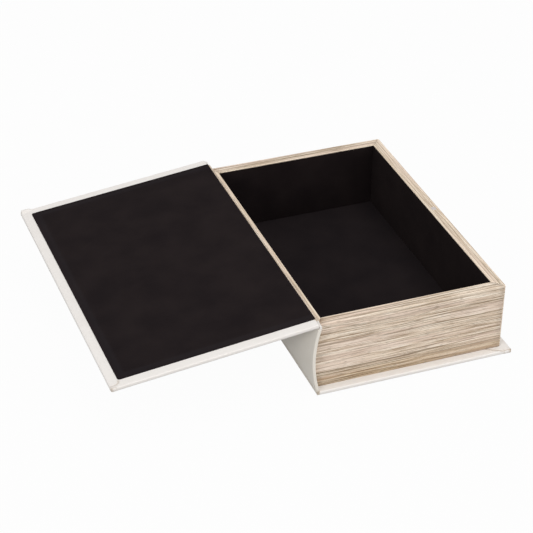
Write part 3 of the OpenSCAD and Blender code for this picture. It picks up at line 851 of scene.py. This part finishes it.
# The tray's five cards, each drawn flat and then put on its wall or the floor
def makeLinings():
    wallLow, wallHigh = corners("tail_lining")
    thick, soft = wallHigh[1] - wallLow[1], cardLook["soft"]
    base, top = floorHigh[2], rimZ - paperLook["drop"]
    under = thick - cardLook["under"]  # the end cards run in behind the side ones, so that no wall shows
    endPlan = (innerX0 - under, innerX1 + under, base, top)
    sidePlan = (-innerY, innerY, base, top)
    for side, node, name in ((-1, "tail_lining", "tailLining"), (1, "head_lining", "headLining")):
        x, z, off = np.moveaxis(cardGrid(endPlan, thick, soft), -1, 0)
        grid = gridOf(x, side * (innerY + thick - off), z)
        place(meshFromGrid(name, grid), "tray", node, flock)
    for face, inwards, node, name in ((innerX1 + thick, -1, "fore_edge_lining", "foreLining"),
                                      (innerX0 - thick, 1, "spine_lining", "spineLining")):
        y, z, off = np.moveaxis(cardGrid(sidePlan, thick, soft), -1, 0)
        place(meshFromGrid(name, gridOf(face + inwards * off, y, z)), "tray", node, flock)
    plan = (innerX0 - thick, innerX1 + thick, -innerY - thick, innerY + thick)
    card = cardGrid(plan, floorHigh[2] - floorLow[2], cardLook["floorSoft"])
    card[..., 2] += floorLow[2]
    piece = meshFromGrid("floorLining", card, tone=cardLook["floorTone"])
    place(piece, "tray", "floor_lining", flock)


# The cover's lining: a card that lies on the turned-in sheet round three sides and sinks to the board
# inside them, by an S-curve over a few millimetres
coverCard = dict(border=8.0, hinge=1.2, corners=(2.0, 2.0, 0.6, 0.6), thickness=0.4, step=0.4, land=0.6,
                 sinkFrom=4.6, sinkTo=8.8, level=9.8, hingeLevel=1.9, soft=0.16, dust=0.1, raisedSheen=0.2,
                 raisedSheenRise=(-0.2, 1.5))


def makeCoverLining():
    card, plan, sheet = coverCard, frontPlan, case["sheet"]
    x0, x1, y1 = card["hinge"], plan["fore"] - card["border"], coverY - card["border"]
    middle = (x1 - x0) / 2
    t = quarter(5)
    soft, thick = card["soft"], card["thickness"]
    stepAt = case["turnIn"] - card["border"]
    rows = [[middle, -sheet], [stepAt + card["step"], -sheet], [stepAt, 0.0], [0, 0], [0, thick - soft - hair]]
    back = len(rows)
    rows += list(zip(soft * (1 - np.cos(t)), thick - soft + soft * np.sin(t)))
    rows += [[card["land"], thick]]
    sink = np.linspace(card["sinkFrom"], card["sinkTo"], 9)
    rows += list(zip(sink, thick - sheet * smooth(sink, sink[0], sink[-1])))
    rows += [[card["level"], thick - sheet], [middle, thick - sheet]]
    d, h = np.array(rows, float).T
    squeezed = np.where(d < middle, squeeze(d, card["land"], card["level"], card["hingeLevel"]), d)
    grid = ringGrid((x0, x1, -y1, y1), card["corners"], np.stack([squeezed, d, d, d], 1), plan["inner"] - h,
                    first=card["land"])
    # Tone: a painted sheen on the raised border over the turn-in, fading where the card sinks, and a little
    # dust all over
    tone = np.where(np.arange(len(d)) > back, 1 - smooth(d, card["sinkFrom"], card["sinkTo"]), 0)
    tone = tone * smooth(d, *card["raisedSheenRise"]) * card["raisedSheen"] + card["dust"]
    piece = meshFromGrid("coverLining", openCover(grid), tone=tone[:, None])
    place(piece, "cover", "cover_lining", flock)


# The magnet: a turned profile, flat in the middle with a rolled edge, revolved about its upright axis
magnetLook = dict(roll=0.35, proud=0.05, land=0.1)


def makeMagnet():
    low, high = corners("closure_magnet")
    centre, radius = (low + high) / 2, (high[0] - low[0]) / 2
    roll, top = magnetLook["roll"], high[2] + magnetLook["proud"]
    t = quarter(6)
    r = np.r_[0, radius - roll - magnetLook["land"], radius - roll + roll * np.sin(t), radius, 0]
    z = np.r_[top, top, top - roll + roll * np.cos(t), low[2], low[2]]
    angle = np.linspace(0, 2 * math.pi, 49)[:-1]
    grid = gridOf(centre[0] + r[:, None] * np.cos(angle), centre[1] + r[:, None] * np.sin(angle), z[:, None])
    place(meshFromGrid("closureMagnet", grid), "tray", "closure_magnet", nickel)


makeEndPaper("tailPaper", "tail_paper", -1, oakTail)
makeEndPaper("headPaper", "head_paper", 1, oakHead)
makeForePaper()
makeSpineRimPaper()
makeCoverPapers()
makeLinings()
makeCoverLining()
makeMagnet()
print("tray made")


# Studio: a pale floor, soft lamps and the camera

# lamps are name, place and size in metres, and power in watts. aim is the height that they face
studio = dict(floor=6.0, floorColour="#b4b4b4", roughness=0.9, ambient=0.57, glow=0.97, aim=0.03,
              lamps=[("key", (0.2, -0.6, 2.6), 1.8, 23.0), ("front", (1.2, -1.7, 0.7), 1.3, 10.9),
                     ("left", (-1.6, -1.2, 1.0), 0.6, 10.5)])


# 1 for what the camera sees, straight or in a reflection, and 0 for the light on things
def seenDirectly(tree):
    path = add(tree, "LightPath").outputs
    return add(tree, "Math", {0: path["Is Camera Ray"], 1: path["Is Glossy Ray"]}, operation="MAXIMUM")


# The floor is a flat square. The camera sees it nearly white, and the light on things comes from grey paper
def makeFloor():
    half = studio["floor"] / 2 / mm
    side = np.array([-half, half])
    floor = meshFromGrid("floor", gridOf(side, side[:, None], 0.0), closed=False)
    material, tree, shader = newMaterial("paleStudioPaper", Roughness=studio["roughness"],
                                         Base_Color=linear(studio["floorColour"]))
    share = add(tree, "Math", {0: seenDirectly(tree), 1: studio["glow"]}, operation="MULTIPLY")
    white = add(tree, "Emission", {"Color": (1, 1, 1, 1), "Strength": 1.0})
    mix = add(tree, "MixShader", {0: share, 1: shader, 2: white})
    tree.links.new(mix.outputs[0], tree.nodes["Material Output"].inputs["Surface"])
    floor.data.materials.append(material)


def makeWorld():
    world = bpy.data.worlds.new("studio")
    scene.world = world
    world.use_nodes = True
    tree = world.node_tree
    tree.nodes.clear()
    strength = add(tree, "MapRange", {0: seenDirectly(tree), 3: studio["ambient"], 4: 1.0})
    background = add(tree, "Background", {"Color": (1, 1, 1, 1), "Strength": strength})
    add(tree, "OutputWorld", {"Surface": background})


# Puts a lamp or the camera at a place with its back that way, level but for its own roll
def putUp(name, data, spot, back, roll=0.0):
    right = np.cross([0, 0, 1], back)
    right /= np.linalg.norm(right)
    up = np.cross(back, right)
    turnedRight = math.cos(roll) * right + math.sin(roll) * up
    turnedUp = -math.sin(roll) * right + math.cos(roll) * up
    holder = bpy.data.objects.new(name, data)
    scene.collection.objects.link(holder)
    holder.matrix_world = Matrix([*zip(turnedRight, turnedUp, back, spot), (0, 0, 0, 1)])
    return holder


# A square soft lamp at a place, turned to face the box
def makeLamp(name, spot, size, power):
    lamp = bpy.data.lights.new(name, "AREA")
    lamp.shape, lamp.size, lamp.energy = "SQUARE", size, power
    back = np.array(spot) - (0.0, 0.0, studio["aim"])
    putUp(name, lamp, spot, back / np.linalg.norm(back))


# The camera, by its bearing round the box, its height angle, its roll and its distance from its target
cameraView = dict(azimuth=-21.4866, elevation=33.4717, roll=1.0177, distance=1506.15,
                  target=(-81.025, -8.95, 43.575), lens=124.01, sensor=36.0)


def makeCamera():
    look = cameraView
    azimuth, elevation, roll = (math.radians(look[key]) for key in ("azimuth", "elevation", "roll"))
    level = math.cos(elevation)
    back = np.array([math.sin(azimuth) * level, -math.cos(azimuth) * level, math.sin(elevation)])
    data = bpy.data.cameras.new("camera")
    data.lens, data.sensor_width = look["lens"], look["sensor"]
    spot = (np.array(look["target"]) + look["distance"] * back) * mm
    scene.camera = putUp("camera", data, spot, back, roll)


makeFloor()
makeWorld()
for name, spot, size, power in studio["lamps"]:
    makeLamp(name, spot, size, power)
makeCamera()
scene.view_settings.view_transform = "Standard"
print("studio made")
